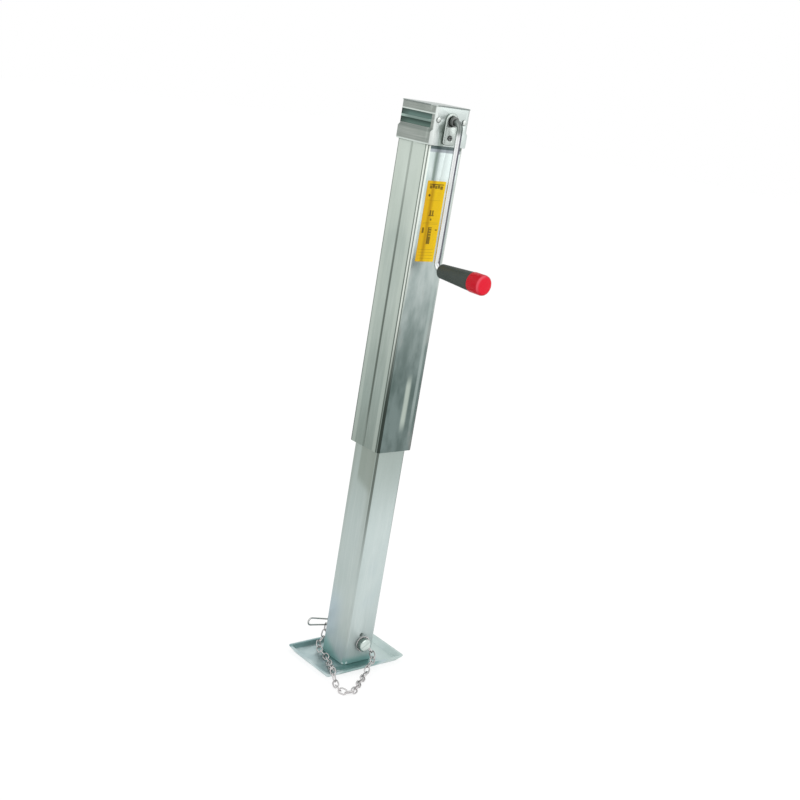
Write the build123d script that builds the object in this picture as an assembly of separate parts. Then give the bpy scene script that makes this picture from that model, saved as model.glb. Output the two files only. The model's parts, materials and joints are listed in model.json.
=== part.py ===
from build123d import *
import math
import os

# Trailer prop stand: a square telescopic leg that a side crank winds in and out through a bevel pair
# and a lead screw. The leg is shown wound right out, standing on its foot plate.
# The origin is the centre of the foot plate's underside, +Z runs up the tube, +X points to the crank.
# All sizes are in millimetres.

# Foot plate and foot tube
plate_length = 183.0
plate_width = 124.0
plate_thickness = 4.0
plate_corner = 9.0
rim_rise = 8.0
rim_run = 10.0
foot_tube_length = 120.0
foot_tube_wall = 3.0

# Inner leg
leg_width = 66.0
leg_wall = 3.0
leg_corner = 7.0
leg_length = 585.0
leg_shown = 412.5
drain_hole_radius = 4.0
drain_hole_rise = 14.0

# Outer tube, long enough for the leg's travel from right out to right in
tube_width = 80.0
tube_wall = 3.0
tube_corner = 8.0
seam_width = 3.0
seam_depth = 1.2
stroke = 330.0
stroke_headroom = 10.4

# Gear housing on top of the tube
housing_wall = 2.0
housing_height = 62.0
skirt_overlap = 20.0
skirt_height = 25.0
skirt_bulge = 2.0
skirt_shoulder = 4.0
skirt_foot_height = 2.0
skirt_foot_tuck = 0.5
skirt_gap_half_width = 18.0
groove_depth = 3.0
groove_height = 9.0
rib_height = 4.0
top_band_height = 13.0
panel_half_length = 38.0
lid_thickness = 2.0
lid_overhang = 1.2
lid_edge = 0.8
shaft_drop = 21.0
rivet_radius = 4.8
rivet_shank_radius = 2.5
rivet_rise = 2.2
rivet_crown = 1.2
rivet_tail = 1.5
rivet_spacing = 57.0

# Front bracket that carries the shaft's bush
bracket_width = 27.0
bracket_thickness = 3.0
bracket_drop = 39.0
bracket_corner = 6.0
bracket_edge = 1.0
bracket_screw_radius = 2.5
bracket_screw_drop = 27.0
bracket_screw_tail = 1.5
screw_head_radius = 4.5
screw_head_height = 1.8
screw_head_crown = 0.9
screw_slot_width = 1.0
screw_slot_depth = 1.0

# Bearing plate and thrust bearing
bearing_plate_thickness = 8.0
bearing_plate_depth = 10.0
race_outer_radius = 16.0
race_bore_gap = 0.5
race_thickness = 3.0
roller_radius = 1.5
roller_length = 5.0
roller_count = 10
roller_circle_radius = 12.0
cage_thickness = 2.0
cage_inset = 0.8

# Bevel pair
gear_module = 2.5
pinion_teeth = 12
gear_teeth = 20
tooth_length = 9.0
pressure_angle = 20.0
tooth_addendum = 0.85 * gear_module
tooth_dedendum = 1.15 * gear_module
tip_allowance = 0.5
tooth_clearance = 0.16
gear_back_depth = 3.0
pinion_hub_radius = 12.0
gear_hub_radius = 14.0

# Crank shaft and crank
shaft_radius = 7.0
shaft_head_radius = 8.2
shaft_head_length = 7.0
bush_wall = 2.0
bush_flange = 2.5
bush_flange_thickness = 2.0
ring_radius = 10.0
ring_thickness = 1.5
ring_groove_depth = 1.0
ring_mouth_angle = 110.0
shaft_tail = 2.0
turned_edge = 0.8
rod_radius = 5.0
rod_depth = 16.0
crank_standoff = 25.0
crank_arm_length = 240.0
crank_bend_radius = 12.0
grip_length = 106.0
grip_start = 13.0
grip_small_radius = 12.2
grip_large_radius = 16.3
grip_nose_length = 2.5
grip_nose_drop = 2.0
grip_cap_radius = 17.0
grip_cap_length = 28.0
grip_cap_edge_radius = 5.0
grip_cap_rim_steps = 3
grip_cap_mouth = 0.7
grip_cap_room = 1.0
grip_spigot_length = 11.0
grip_spigot_wall = 3.0
grip_washer_radius = 9.0
grip_washer_thickness = 1.5
rod_head_radius = 7.0
rod_head_height = 2.5
rod_head_crown = 1.2

# Lead screw and nut
screw_radius = 11.0
screw_tail = 4.0
screw_tail_chamfer = 1.5
journal_radius = 7.0
journal_top_gap = 1.5
collar_radius = 14.0
collar_thickness = 6.0
nut_radius = 17.0
nut_length = 30.0
nut_flange_radius = 27.0
nut_flange_thickness = 5.0
nut_plate_thickness = 8.0
nut_bolt_radius = 3.0
nut_bolt_circle_radius = 22.0
nut_bolt_head_radius = 5.4
nut_bolt_head_height = 4.0
stop_collar_radius = 15.0
stop_collar_thickness = 8.0

# Guide pads
pad_width = 44.0
pad_length = 45.0
pad_edge = 0.8
pad_button_radius = 5.0
pad_set_in = 8.0

# Foot pin, spring clip and chain
pin_radius = 8.0
pin_height = 45.0
pin_head_radius = 12.0
pin_head_length = 10.0
pin_head_chamfer = 1.6
pin_neck = 7.0
pin_tail = 17.0
pin_tail_chamfer = 1.5
pin_end_play = 1.5
clip_wire_radius = 1.6
clip_tilt = 10.0
clip_stand_off = 8.5
clip_inner_leg = 69.0
clip_outer_gap = 14.0
clip_tip = 14.0
clip_tip_lift = 3.5
clip_loop_flat = 0.5
clip_belly_radius = 20.0
clip_hook = 24.0
chain_wire_radius = 1.3
link_length = 18.0
link_width = 12.4
link_slack = 0.5
last_link_way = (-0.65, -0.4, 0.64)
last_link_lead = 3.0
end_ring_radius = 13.5
end_ring_sides = 16
end_ring_swing = 55.0
end_ring_lean = 8.0
cross_pin_radius = 2.0
cross_pin_recess = 0.4

# Clearances
seat_gap = 0.5
slide_gap = 0.3
fit_gap = 0.15
running_gap = 0.05
drill_gap = 0.05

# How far a cutting shape runs past the face that it cuts
overrun = 1.0

# Heights that follow from the sizes above
leg_bottom_z = plate_thickness + seat_gap
leg_top_z = leg_bottom_z + leg_length
nut_flange_z = leg_top_z
nut_top_z = nut_flange_z + nut_flange_thickness
nut_bottom_z = nut_flange_z - nut_length
collar_bottom_z = nut_top_z + stroke + stroke_headroom
collar_top_z = collar_bottom_z + collar_thickness
roller_z = collar_top_z + race_thickness + roller_radius + running_gap
bearing_plate_bottom_z = roller_z + roller_radius + running_gap + race_thickness
bearing_plate_top_z = bearing_plate_bottom_z + bearing_plate_thickness
tube_bottom_z = leg_bottom_z + leg_shown
tube_top_z = bearing_plate_top_z + bearing_plate_depth
tube_length = tube_top_z - tube_bottom_z
housing_bottom_z = tube_top_z - skirt_overlap
housing_top_z = housing_bottom_z + housing_height
shaft_z = housing_top_z - shaft_drop
bracket_screw_z = shaft_z - bracket_screw_drop
stop_collar_top_z = nut_bottom_z - seat_gap
stop_collar_bottom_z = stop_collar_top_z - stop_collar_thickness
grip_z = shaft_z - crank_arm_length

# Widths that follow from the sizes above
leg_half = leg_width / 2
tube_half = tube_width / 2
tube_inside = tube_width - 2 * tube_wall
leg_inside = leg_width - 2 * leg_wall
foot_tube_width = leg_inside - 2 * slide_gap
housing_inside = tube_width + 2 * fit_gap
housing_width = housing_inside + 2 * housing_wall
housing_half = housing_width / 2
housing_corner = tube_corner + fit_gap + housing_wall
bush_radius = shaft_radius + bush_wall
bush_inner_x = housing_inside / 2 - bush_flange_thickness
bracket_face_x = housing_half + bracket_thickness
crank_x = tube_half + crank_standoff
pad_thickness = (tube_inside - leg_width) / 2 - slide_gap
pin_head_x = leg_half + pin_neck
clip_x = -leg_half - clip_stand_off


def square_tube(width, wall, corner, length):
    """A square tube with rounded corners, standing on the XY plane."""
    outside = RectangleRounded(width, width, corner)
    inside = RectangleRounded(width - 2 * wall, width - 2 * wall, max(corner - wall, 0.5))
    return extrude(outside - inside, length)


def cylinder_x(radius, start, end, y=0.0, z=0.0):
    """A cylinder along X between two places."""
    return Plane((start, y, z), z_dir=(1, 0, 0)) * extrude(Circle(radius), end - start)


def cylinder_z(radius, bottom, top, x=0.0, y=0.0):
    """An upright cylinder between two heights."""
    return Pos(x, y, bottom) * extrude(Circle(radius), top - bottom)


def block(x_range, y_range, z_range):
    """A rectangular block between pairs of coordinates."""
    size = [high - low for low, high in (x_range, y_range, z_range)]
    centre = [(low + high) / 2 for low, high in (x_range, y_range, z_range)]
    return Pos(*centre) * Box(*size)


def foot_plate():
    """The pressed steel foot: a flat base with a sloping rim all round."""
    base = RectangleRounded(plate_width - 2 * rim_run, plate_length - 2 * rim_run, plate_corner - rim_run / 2)
    top = Pos(0, 0, plate_thickness + rim_rise) * RectangleRounded(plate_width, plate_length, plate_corner)
    dish = loft([base, top])
    slope = math.atan2(plate_thickness + rim_rise, rim_run)
    sheet_across = plate_thickness / math.sin(slope)
    lift = plate_thickness * rim_run / (plate_thickness + rim_rise)
    floor_inset = 2 * (rim_run + sheet_across - lift)
    top_inset = 2 * sheet_across
    inner_floor = Pos(0, 0, plate_thickness) * RectangleRounded(
        plate_width - floor_inset, plate_length - floor_inset, plate_corner - rim_run / 2
    )
    inner_top = Pos(0, 0, plate_thickness + rim_rise) * RectangleRounded(
        plate_width - top_inset, plate_length - top_inset, plate_corner - sheet_across / 2
    )
    return dish - loft([inner_floor, inner_top])


def foot_tube():
    """The tube welded on the foot plate, which stands inside the leg and takes the pin."""
    corner = max(leg_corner - leg_wall - slide_gap, 0.5)
    tube = Pos(0, 0, plate_thickness) * square_tube(foot_tube_width, foot_tube_wall, corner, foot_tube_length)
    return tube - cylinder_x(pin_radius + running_gap, -leg_width, leg_width, z=pin_height)


def inner_leg():
    """The inner leg: a square tube with the pin's cross hole and a drain hole above it."""
    leg = Pos(0, 0, leg_bottom_z) * square_tube(leg_width, leg_wall, leg_corner, leg_length)
    leg -= cylinder_x(pin_radius + running_gap, -leg_width, leg_width, z=pin_height)
    leg -= cylinder_x(drain_hole_radius, 0, leg_width, z=pin_height + drain_hole_rise)
    button = extrude(Circle(pad_button_radius + drill_gap), leg_width, both=True)
    button_z = leg_top_z - pad_set_in - pad_length / 2
    leg -= Pos(0, 0, button_z) * Rot(90, 0, 0) * button
    leg -= Pos(0, 0, button_z) * Rot(0, 90, 0) * button
    return leg


def guide_pads(inner_radius, bottom, with_buttons):
    """Four moulded pads that fill the space between the leg and the outer tube, one on each face."""
    pads = []
    for turn in range(4):
        face = Plane((inner_radius, 0, bottom + pad_length / 2), x_dir=(0, 1, 0), z_dir=(1, 0, 0))
        pad = face * extrude(Rectangle(pad_width, pad_length), pad_thickness)
        pad = chamfer(pad.faces().sort_by(Axis.X)[-1].edges(), pad_edge)
        if with_buttons:
            pad += cylinder_x(pad_button_radius, inner_radius - leg_wall, inner_radius, z=face.origin.Z)
        pads.append(Rot(0, 0, 90 * turn) * pad)
    return Compound(pads)


def outer_tube():
    """The outer tube, rolled from two channels: a shallow seam runs down the middle of both side faces."""
    tube = Pos(0, 0, tube_bottom_z) * square_tube(tube_width, tube_wall, tube_corner, tube_length)
    mouth = seam_width / 2 * (1 + overrun / seam_depth)
    groove = make_face(Polyline((-mouth, overrun), (0, -seam_depth), (mouth, overrun), close=True))
    seam = Pos(0, tube_half, tube_bottom_z) * extrude(groove, tube_length)
    for side in (0, 180):
        tube -= Rot(0, 0, side) * seam
    return tube - cylinder_x(bracket_screw_radius + drill_gap, 0, tube_width, z=bracket_screw_z)


def housing_skirt(width, foot, height):
    """The outer form of the skirt: tucked in at its foot and drawn in again at its shoulder."""
    foot_section = RectangleRounded(width - 2 * foot, width - 2 * foot, housing_corner)
    full_section = RectangleRounded(width, width, housing_corner)
    top_section = RectangleRounded(housing_width, housing_width, housing_corner)
    shoulder_z = height - skirt_shoulder
    skirt = loft([foot_section, Pos(0, 0, skirt_foot_height) * full_section])
    skirt += Pos(0, 0, skirt_foot_height) * extrude(full_section, shoulder_z - skirt_foot_height)
    return skirt + loft([Pos(0, 0, shoulder_z) * full_section, Pos(0, 0, height) * top_section])


def gear_housing():
    """The pressed housing: a top band, a grooved panel on both side faces and a bulged skirt over the tube."""
    skirt_width = housing_width + 2 * skirt_bulge
    shell = extrude(RectangleRounded(housing_width, housing_width, housing_corner), housing_height)
    shell += housing_skirt(skirt_width, skirt_foot_tuck, skirt_height)
    inner_corner = housing_corner - housing_wall
    inside = extrude(RectangleRounded(housing_inside, housing_inside, inner_corner), housing_height)
    bulge_inside = skirt_width - 2 * housing_wall
    inside += extrude(RectangleRounded(bulge_inside, bulge_inside, inner_corner), skirt_height - skirt_shoulder)
    skirt_z = (-overrun, skirt_height + overrun)
    outer_x = housing_half + 2 * skirt_bulge
    for side in (-1, 1):
        flat_x = sorted((side * housing_half, side * outer_x))
        shell -= block(flat_x, (-skirt_gap_half_width, skirt_gap_half_width), skirt_z)
        inner_half = skirt_gap_half_width + housing_wall
        wall_x = sorted((side * housing_inside / 2, side * outer_x))
        inside -= block(wall_x, (-inner_half, inner_half), skirt_z)
    panel_top = housing_height - top_band_height
    panel_bottom = panel_top - 2 * groove_height - rib_height
    panel_z = (panel_bottom - housing_wall, panel_top + housing_wall)
    inner_length = panel_half_length + housing_wall
    for side in (-1, 1):
        inner_y = sorted((side * (housing_half - groove_depth - housing_wall), side * housing_half))
        inside -= block((-inner_length, inner_length), inner_y, panel_z)
        groove_y = sorted((side * (housing_half - groove_depth), side * (housing_half + overrun)))
        for low in (panel_bottom, panel_bottom + groove_height + rib_height):
            shell -= block((-panel_half_length, panel_half_length), groove_y, (low, low + groove_height))
    shell = Pos(0, 0, housing_bottom_z) * (shell - inside)
    shell -= cylinder_x(bush_radius + drill_gap, -tube_width, tube_width, z=shaft_z)
    for y in (-rivet_spacing / 2, rivet_spacing / 2):
        shell -= cylinder_x(rivet_shank_radius + drill_gap, -tube_width, tube_width, y, shaft_z)
    return shell - cylinder_x(bracket_screw_radius + drill_gap, 0, tube_width, z=bracket_screw_z)


def housing_lid():
    """The flat lid, a little larger than the housing, with rolled corners."""
    width = housing_width + 2 * lid_overhang
    lid = extrude(RectangleRounded(width, width, housing_corner + lid_overhang), lid_thickness)
    lid = Pos(0, 0, housing_top_z) * lid
    lid = chamfer(lid.faces().sort_by(Axis.Z)[-1].edges(), lid_edge)
    spigot_width = housing_inside - 2 * fit_gap
    spigot = square_tube(spigot_width, housing_wall, tube_corner, lid_thickness)
    return lid + Pos(0, 0, housing_top_z - lid_thickness) * spigot


def housing_rivets():
    """Round-headed rivets through the housing on both faces at the shaft's height."""
    rivets = []
    for side in (0, 180):
        for y in (-rivet_spacing / 2, rivet_spacing / 2):
            tail_x = housing_inside / 2 - rivet_tail
            shank = cylinder_x(rivet_shank_radius, tail_x, housing_half, y, shaft_z)
            head = cylinder_x(rivet_radius, housing_half, housing_half + rivet_rise, y, shaft_z)
            head = chamfer(head.faces().sort_by(Axis.X)[-1].edges(), rivet_crown)
            rivets.append(Rot(0, 0, side) * (head + shank))
    return Compound(rivets)


def shaft_bracket():
    """The tongue that carries the shaft's bush: round about the shaft at its top, with rounded lower corners."""
    face = Plane((housing_half, 0, shaft_z), x_dir=(0, 1, 0), z_dir=(1, 0, 0))
    height = bracket_drop + bracket_corner
    outline = Pos(0, bracket_corner - height / 2) * RectangleRounded(bracket_width, height, bracket_corner)
    bracket = face * extrude(outline + Circle(bracket_width / 2), bracket_thickness)
    bracket = chamfer(bracket.faces().sort_by(Axis.X)[-1].edges(), bracket_edge)
    bracket -= cylinder_x(bush_radius + drill_gap, 0, tube_width, z=shaft_z)
    return bracket - cylinder_x(bracket_screw_radius + drill_gap, 0, tube_width, z=bracket_screw_z)


def bracket_screw():
    """The cross-head screw that holds the tongue's lower end to the housing."""
    tail_x = tube_half - tube_wall - bracket_screw_tail
    head_x = bracket_face_x + screw_head_height
    screw = cylinder_x(bracket_screw_radius, tail_x, bracket_face_x, z=bracket_screw_z)
    head = cylinder_x(screw_head_radius, bracket_face_x, head_x, z=bracket_screw_z)
    head = chamfer(head.faces().sort_by(Axis.X)[-1].edges(), screw_head_crown)
    reach = screw_head_radius - screw_head_crown
    recess = Box(2 * screw_slot_depth, screw_slot_width, 2 * reach)
    recess += Box(2 * screw_slot_depth, 2 * reach, screw_slot_width)
    return screw + head - Pos(head_x, 0, bracket_screw_z) * recess


def shaft_bush(front):
    """A flanged plain bush for the crank shaft, pushed into the housing wall from inside."""
    outer_x = bracket_face_x if front else housing_half
    bush = cylinder_x(bush_radius, bush_inner_x, outer_x, z=shaft_z)
    bush += cylinder_x(bush_radius + bush_flange, bush_inner_x, housing_inside / 2, z=shaft_z)
    bush -= cylinder_x(shaft_radius + running_gap, bush_inner_x - overrun, outer_x + overrun, z=shaft_z)
    return bush if front else Rot(0, 0, 180) * bush


def bearing_plate():
    """The thick plate welded across the tube's top, with a bore for the screw's journal."""
    width = tube_inside - 2 * fit_gap
    corner = tube_corner - tube_wall
    plate = extrude(RectangleRounded(width, width, corner), bearing_plate_thickness)
    plate = Pos(0, 0, bearing_plate_bottom_z) * plate
    return plate - cylinder_z(journal_radius + running_gap, bearing_plate_bottom_z - overrun, tube_top_z)


def thrust_race(bottom):
    """One race of the thrust bearing: a flat hardened washer."""
    race = cylinder_z(race_outer_radius, bottom, bottom + race_thickness)
    bore_radius = journal_radius + race_bore_gap
    return race - cylinder_z(bore_radius, bottom - overrun, bottom + race_thickness + overrun)


def around_roller_circle(shape):
    """Copies of a shape, one at each roller's place."""
    return [Rot(0, 0, 360 * index / roller_count) * shape for index in range(roller_count)]


def thrust_rollers():
    """The bearing's rollers, lying like spokes between the races."""
    start = roller_circle_radius - roller_length / 2
    return Compound(around_roller_circle(cylinder_x(roller_radius, start, start + roller_length, z=roller_z)))


def roller_cage():
    """The pressed cage that spaces the rollers."""
    low = roller_z - cage_thickness / 2
    high = roller_z + cage_thickness / 2
    cage = cylinder_z(race_outer_radius - cage_inset, low, high)
    cage -= cylinder_z(journal_radius + cage_inset, low - overrun, high + overrun)
    half_length = roller_length / 2 + fit_gap
    half_width = roller_radius + fit_gap
    pocket_x = (roller_circle_radius - half_length, roller_circle_radius + half_length)
    pocket = block(pocket_x, (-half_width, half_width), (low - overrun, high + overrun))
    return cage - around_roller_circle(pocket)


def involute(angle):
    """The involute function of an angle in radians."""
    return math.tan(angle) - angle


def tooth_outline(virtual_radius, teeth_pitch_angle):
    """Half widths of a bevel tooth at four heights, for its equivalent spur gear."""
    pressure = math.radians(pressure_angle)
    base_radius = virtual_radius * math.cos(pressure)
    rows = []
    for height in (-tooth_dedendum, 0.0, tooth_addendum / 2, tooth_addendum):
        radius = virtual_radius + height
        local = math.acos(base_radius / radius) if radius > base_radius else 0.0
        half_angle = teeth_pitch_angle / 4 + involute(pressure) - involute(local)
        half_width = radius * math.sin(half_angle) - tooth_clearance
        rows.append((half_width, radius * math.cos(half_angle) - virtual_radius))
    return rows


def gear_back(teeth, mate_teeth):
    """How far the back of a gear's rim lies from the cone's apex, along its own axis."""
    cone = math.atan2(teeth, mate_teeth)
    return gear_module * mate_teeth / 2 + (tooth_dedendum + gear_back_depth) * math.sin(cone)


def bevel_gear(teeth, mate_teeth, bore, hub_radius, hub_end, first_tooth):
    """A straight bevel gear with its cone's apex at the origin and its hub running down -Z to hub_end."""
    cone = math.atan2(teeth, mate_teeth)
    cone_distance = gear_module * teeth / 2 / math.sin(cone)
    inner = (cone_distance - tooth_length) / cone_distance

    def cone_point(offset, scale=1.0):
        radius = scale * (cone_distance * math.sin(cone) + offset * math.cos(cone))
        return radius, scale * (offset * math.sin(cone) - cone_distance * math.cos(cone))

    back = cone_point(-tooth_dedendum - gear_back_depth)
    blank = Polyline(
        (bore, cone_point(-tooth_dedendum, inner)[1]),
        cone_point(-tooth_dedendum, inner),
        cone_point(tooth_addendum + tip_allowance, inner),
        cone_point(tooth_addendum + tip_allowance),
        back,
        (hub_radius, back[1]),
        (hub_radius, -hub_end),
        (bore, -hub_end),
        close=True,
    )
    virtual_radius = cone_distance * math.tan(cone)
    rows = tooth_outline(virtual_radius, 2 * math.pi * math.cos(cone) / teeth)
    outline = [(-half, height) for half, height in rows] + [(half, height) for half, height in reversed(rows)]
    top_z = cone_point(tooth_addendum + tip_allowance, inner)[1]
    sections = []
    for z in (back[1], top_z):
        points = []
        for index in range(teeth):
            for across, height in outline:
                radius, point_z = cone_point(height)
                turned = Vector(radius, across).rotate(Axis.Z, first_tooth + 360 / teeth * index) * (z / point_z)
                points.append((turned.X, turned.Y, z))
        sections.append(Wire.make_polygon(points, close=True))
    toothed = Solid.make_loft(sections, ruled=True)
    toothed += cylinder_z(hub_radius + overrun, -hub_end, back[1] + overrun)
    return revolve(Plane.XZ * make_face(blank), Axis.Z) & toothed


def pinion_hub_end():
    """How far the pinion's hub reaches from the screw's axis, up to the rear bush."""
    return bush_inner_x - seat_gap


def gear_hub_end():
    """How far the screw gear's hub reaches below the shaft's axis, down to the bearing plate."""
    return shaft_z - bearing_plate_top_z - seat_gap


def drive_pinion():
    """The bevel pinion on the crank shaft, on the far side of the screw."""
    pinion = bevel_gear(pinion_teeth, gear_teeth, shaft_radius, pinion_hub_radius, pinion_hub_end(), 0)
    pinion = Pos(0, 0, shaft_z) * Rot(0, 90, 0) * pinion
    return pinion - pinion_cross_hole()


def pinion_pin_x():
    """The X position of the pin through the middle of the pinion's hub."""
    return -(gear_back(pinion_teeth, gear_teeth) + pinion_hub_end()) / 2


def pinion_cross_hole():
    """The drilled hole through the pinion's hub and the shaft."""
    reach = pinion_hub_radius + overrun
    return cylinder_z(cross_pin_radius + drill_gap, shaft_z - reach, shaft_z + reach, pinion_pin_x())


def pinion_pin():
    """The spring pin that keys the pinion to the shaft."""
    reach = pinion_hub_radius - cross_pin_recess
    return cylinder_z(cross_pin_radius, shaft_z - reach, shaft_z + reach, pinion_pin_x())


def screw_gear():
    """The bevel gear on top of the lead screw."""
    half_pitch = 180 / gear_teeth
    gear = bevel_gear(gear_teeth, pinion_teeth, journal_radius, gear_hub_radius, gear_hub_end(), half_pitch)
    return Pos(0, 0, shaft_z) * gear - gear_cross_hole()


def gear_pin_z():
    """The height of the pin through the middle of the screw gear's hub."""
    return shaft_z - (gear_back(gear_teeth, pinion_teeth) + gear_hub_end()) / 2


def gear_cross_hole():
    """The drilled hole through the screw gear's hub and the screw's journal."""
    reach = gear_hub_radius + overrun
    return cylinder_x(cross_pin_radius + drill_gap, -reach, reach, z=gear_pin_z())


def gear_pin():
    """The spring pin that keys the gear to the screw."""
    reach = gear_hub_radius - cross_pin_recess
    return cylinder_x(cross_pin_radius, -reach, reach, z=gear_pin_z())


def crank_shaft():
    """The cross shaft: plain journals, a collar outside the bracket and a socket for the crank rod."""
    head_start = bracket_face_x + seat_gap
    head_end = head_start + shaft_head_length
    groove_x = -housing_half - seat_gap - ring_thickness
    shaft = cylinder_x(shaft_radius, groove_x - shaft_tail, head_start, z=shaft_z)
    head = cylinder_x(shaft_head_radius, head_start, head_end, z=shaft_z)
    shaft += chamfer(head.faces().sort_by(Axis.X)[-1].edges(), turned_edge)
    shaft -= cylinder_x(rod_radius + drill_gap, head_end - rod_depth, head_end + overrun, z=shaft_z)
    groove = cylinder_x(shaft_radius + overrun, groove_x, groove_x + ring_thickness, z=shaft_z)
    groove -= cylinder_x(shaft_radius - ring_groove_depth, groove_x, groove_x + ring_thickness, z=shaft_z)
    return shaft - groove - pinion_cross_hole() - arm_cross_hole()


def retaining_ring():
    """The open retaining ring in the groove at the shaft's far end."""
    start = -housing_half - seat_gap - ring_thickness
    end = start + ring_thickness
    inner_radius = shaft_radius - ring_groove_depth + drill_gap
    ring = cylinder_x(ring_radius, start, end, z=shaft_z)
    ring -= cylinder_x(inner_radius, start - overrun, end + overrun, z=shaft_z)
    mouth = inner_radius * math.sin(math.radians(ring_mouth_angle / 2))
    mouth_z = (shaft_z - ring_radius - overrun, shaft_z)
    return ring - block((start - overrun, end + overrun), (-mouth, mouth), mouth_z)


def arm_pin_x():
    """The X position of the pin that joins the crank rod to the shaft's head."""
    return bracket_face_x + seat_gap + shaft_head_length / 2


def arm_cross_hole():
    """The drilled hole through the shaft's head and the crank rod."""
    reach = shaft_head_radius + overrun
    return cylinder_z(cross_pin_radius + drill_gap, shaft_z - reach, shaft_z + reach, arm_pin_x())


def arm_pin():
    """The spring pin that holds the crank rod in the shaft's head."""
    reach = shaft_head_radius - cross_pin_recess
    return cylinder_z(cross_pin_radius, shaft_z - reach, shaft_z + reach, arm_pin_x())


def crank_arm():
    """The crank: one round rod, bent square at both ends, with a riveted head inside the grip's cap."""
    start_x = bracket_face_x + seat_gap + shaft_head_length - rod_depth + seat_gap
    washer_end = grip_washer_x() + grip_washer_thickness
    path = FilletPolyline(
        (start_x, 0, shaft_z),
        (crank_x, 0, shaft_z),
        (crank_x, 0, grip_z),
        (washer_end, 0, grip_z),
        radius=crank_bend_radius,
    )
    rod = sweep(Plane((start_x, 0, shaft_z), z_dir=(1, 0, 0)) * Circle(rod_radius), path=path)
    head = cylinder_x(rod_head_radius, washer_end, washer_end + rod_head_height, z=grip_z)
    head = chamfer(head.faces().sort_by(Axis.X)[-1].edges(), rod_head_crown)
    return rod + head - arm_cross_hole()


def grip_end_x():
    """The X position of the grip's outer end."""
    return crank_x + grip_start + grip_length


def grip_washer_x():
    """The X position of the washer's inner face, just clear of the grip's spigot."""
    return grip_end_x() - grip_cap_length + grip_spigot_length + seat_gap


def grip_washer():
    """The washer under the rod's riveted head, which keeps the grip on."""
    start = grip_washer_x()
    end = start + grip_washer_thickness
    washer = cylinder_x(grip_washer_radius, start, end, z=grip_z)
    return washer - cylinder_x(rod_radius + drill_gap, start - overrun, end + overrun, z=grip_z)


def crank_grip():
    """The moulded grip: a long taper with a chamfered small end and a spigot for the cap."""
    start = crank_x + grip_start
    end = grip_end_x() - grip_cap_length
    profile = Polyline(
        (start, 0),
        (start, grip_small_radius - grip_nose_drop),
        (start + grip_nose_length, grip_small_radius),
        (end, grip_large_radius),
        (end, 0),
        close=True,
    )
    body = revolve(make_face(profile), Axis.X)
    body += cylinder_x(grip_cap_radius - grip_spigot_wall, end, end + grip_spigot_length)
    body -= cylinder_x(rod_radius + running_gap, start - overrun, end + grip_spigot_length + overrun)
    return Pos(0, 0, grip_z) * body


def grip_cap():
    """The red end cap: a short drum with a rounded rim, pushed over the grip's spigot."""
    start = grip_end_x() - grip_cap_length
    end = grip_end_x()
    socket_radius = grip_cap_radius - grip_spigot_wall + fit_gap
    socket_end = start + grip_spigot_length + fit_gap
    hollow_radius = max(grip_washer_radius, rod_head_radius) + grip_cap_room
    hollow_end = grip_washer_x() + grip_washer_thickness + rod_head_height + grip_cap_room
    rim = []
    for step in range(grip_cap_rim_steps + 1):
        turn = math.radians(90 * step / grip_cap_rim_steps)
        rim_x = end - grip_cap_edge_radius * (1 - math.sin(turn))
        rim.append((rim_x, grip_cap_radius - grip_cap_edge_radius * (1 - math.cos(turn))))
    profile = Polyline(
        (start, socket_radius),
        (start, grip_cap_radius - grip_cap_mouth),
        (start + grip_cap_mouth, grip_cap_radius),
        *rim,
        (end, 0),
        (hollow_end, 0),
        (hollow_end, hollow_radius),
        (socket_end, hollow_radius),
        (socket_end, socket_radius),
        close=True,
    )
    return Pos(0, 0, grip_z) * revolve(make_face(profile), Axis.X)


def lead_screw():
    """The lead screw: a long threaded body, a thrust collar and a journal that carries the gear."""
    screw = cylinder_z(screw_radius, stop_collar_bottom_z - screw_tail, collar_bottom_z)
    screw = chamfer(screw.faces().sort_by(Axis.Z)[0].edges(), screw_tail_chamfer)
    screw += cylinder_z(collar_radius, collar_bottom_z, collar_top_z)
    journal = cylinder_z(journal_radius, collar_top_z, shaft_z - shaft_radius - journal_top_gap)
    screw += chamfer(journal.faces().sort_by(Axis.Z)[-1].edges(), turned_edge)
    return screw - gear_cross_hole() - stop_cross_hole()


def stop_cross_hole():
    """The drilled hole through the stop collar and the screw's lower end."""
    reach = stop_collar_radius + overrun
    z = (stop_collar_bottom_z + stop_collar_top_z) / 2
    return cylinder_x(cross_pin_radius + drill_gap, -reach, reach, z=z)


def stop_collar():
    """The collar pinned on the screw's lower end, which stops the nut when the leg is right out."""
    collar = cylinder_z(stop_collar_radius, stop_collar_bottom_z, stop_collar_top_z)
    bore_z = (stop_collar_bottom_z - overrun, stop_collar_top_z + overrun)
    collar -= cylinder_z(screw_radius + drill_gap, *bore_z)
    return collar - stop_cross_hole()


def stop_pin():
    """The spring pin through the stop collar."""
    reach = stop_collar_radius - cross_pin_recess
    z = (stop_collar_bottom_z + stop_collar_top_z) / 2
    return cylinder_x(cross_pin_radius, -reach, reach, z=z)


def bolt_places():
    """The four places of the bolts that hold the nut's flange."""
    offset = nut_bolt_circle_radius / math.sqrt(2)
    return [(x, y) for x in (-offset, offset) for y in (-offset, offset)]


def nut_plate():
    """The plate welded in the leg's top, which carries the nut."""
    width = leg_inside - 2 * fit_gap
    plate = extrude(RectangleRounded(width, width, leg_corner - leg_wall), nut_plate_thickness)
    plate = Pos(0, 0, leg_top_z - nut_plate_thickness) * plate
    plate -= cylinder_z(nut_radius + drill_gap, nut_bottom_z, leg_top_z + overrun)
    for x, y in bolt_places():
        plate -= cylinder_z(nut_bolt_radius + drill_gap, nut_bottom_z, leg_top_z + overrun, x, y)
    return plate


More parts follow.
